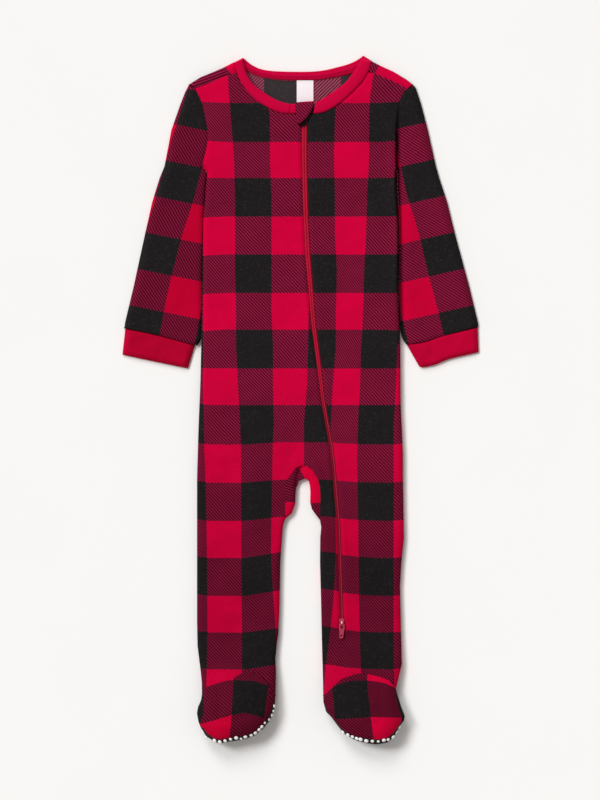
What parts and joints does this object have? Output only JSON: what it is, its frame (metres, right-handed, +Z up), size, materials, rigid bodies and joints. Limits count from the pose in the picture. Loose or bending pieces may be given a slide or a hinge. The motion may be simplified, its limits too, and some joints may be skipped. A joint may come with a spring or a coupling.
{
  "type": "footed one-piece baby sleep suit, laid flat",
  "caption": "Footed one-piece baby sleep suit in red and black buffalo check, laid flat on its back, with long sleeves, rib cuffs and neck, and a front zip down to one ankle.",
  "frame": {"origin": "on the surface that the garment lies on, under the middle of its bounding box", "axes": "+Z up off the surface out of the garment's front, +Y from the feet to the neck, +X towards the wearer's left side"},
  "size_m": [0.3634, 0.7018, 0.0328],
  "materials": {
    "check_knit": "brushed cotton knit with a red and black buffalo check whose mixed squares are diagonal lines",
    "red_rib": "fine 1x1 rib knit",
    "sole_knit": "check knit with small raised white grip dots",
    "zip_tape": "woven tape",
    "zip_coil": "closed nylon coil",
    "zip_metal": "glossy enamel",
    "label": "plain satin tape"
  },
  "bodies": {
    "garment": {"front_right": "check_knit", "front_left": "check_knit", "back": "check_knit", "sleeve_right": "check_knit", "sleeve_left": "check_knit", "cuff_right": "red_rib", "cuff_left": "red_rib", "neck_band": "red_rib", "crotch_gusset": "check_knit", "vamp_right": "check_knit", "vamp_left": "check_knit", "sole_right": "sole_knit", "sole_left": "sole_knit", "zip_tape_right": "zip_tape", "zip_tape_left": "zip_tape", "zip_coil": "zip_coil", "zip_slider": "zip_metal", "zip_guard": "check_knit", "neck_label": "label"},
    "zip_pull": {"zip_pull_tab": "zip_metal"}
  },
  "joints": [
    {"name": "zip_pull_swing", "type": "hinge", "parent": "garment", "child": "zip_pull", "pos_m": [0.04193, -0.22945, 0.01052], "axis": [-1, 0, 0], "range_deg": [0, 170]}
  ]
}
